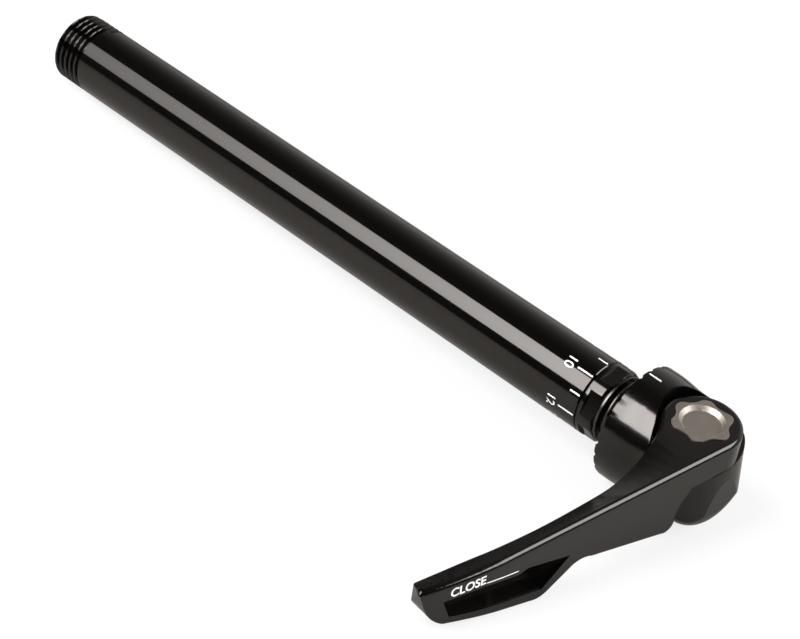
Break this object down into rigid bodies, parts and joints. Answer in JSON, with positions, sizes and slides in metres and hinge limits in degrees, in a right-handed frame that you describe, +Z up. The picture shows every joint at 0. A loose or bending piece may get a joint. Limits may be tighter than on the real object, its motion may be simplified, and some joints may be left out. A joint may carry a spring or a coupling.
{
  "type": "bicycle thru axle",
  "caption": "Threaded 15 mm fork thru axle with a toothed flange, a position scale round the tube and a cam lever that clamps it.",
  "frame": {"origin": "on the axle's axis, in the plane where the toothed flange seats on the fork leg", "axes": "+Y along the axle from the flange to the threaded end, lever towards -X, +Z up with the object lying on its flange, thread and lever corner"},
  "size_m": [0.0818, 0.1797, 0.024],
  "materials": {
    "tube_black": "gloss black anodised",
    "collar_black": "gloss black anodised",
    "housing_black": "gloss black anodised",
    "lever_black": "gloss black anodised, forged",
    "cam_steel": "nickel plated, satin",
    "stud_steel": "black oxide",
    "screw_steel": "zinc plated",
    "spring_steel": "bright spring steel",
    "bush_bronze": "sintered bronze",
    "ring_rubber": "smooth, greased",
    "washer_plastic": "acetal"
  },
  "bodies": {
    "axle": {"axle_tube": "tube_black", "screw_washer": "screw_steel"},
    "core": {"draw_stud": "stud_steel", "index_collar": "collar_black", "index_screw": "screw_steel", "stud_o_ring": "ring_rubber", "spring_washer": "spring_steel", "return_spring": "spring_steel"},
    "housing": {"flange_housing": "housing_black", "upper_bush": "bush_bronze", "lower_bush": "bush_bronze", "thrust_washer": "washer_plastic"},
    "lever": {"lever": "lever_black", "cam_shaft": "cam_steel", "clip_shim": "screw_steel", "retaining_clip": "spring_steel"}
  },
  "joints": [
    {"name": "index_turn", "type": "hinge", "parent": "axle", "child": "core", "pos_m": [0, 0.0083, 0], "axis": [0, 1, 0], "continuous": true},
    {"name": "flange_slide", "type": "slide", "parent": "core", "child": "housing", "axis": [0, -1, 0], "range_m": [0, 0.0013]},
    {"name": "lever_hinge", "type": "hinge", "parent": "housing", "child": "lever", "pos_m": [0, -0.0137, 0], "axis": [-0.17, 0, 0.9854], "range_deg": [0, 120]}
  ],
  "couplings": [
    {"joint": "flange_slide", "follows": "lever_hinge", "m_per_rad": 0.00062}
  ]
}
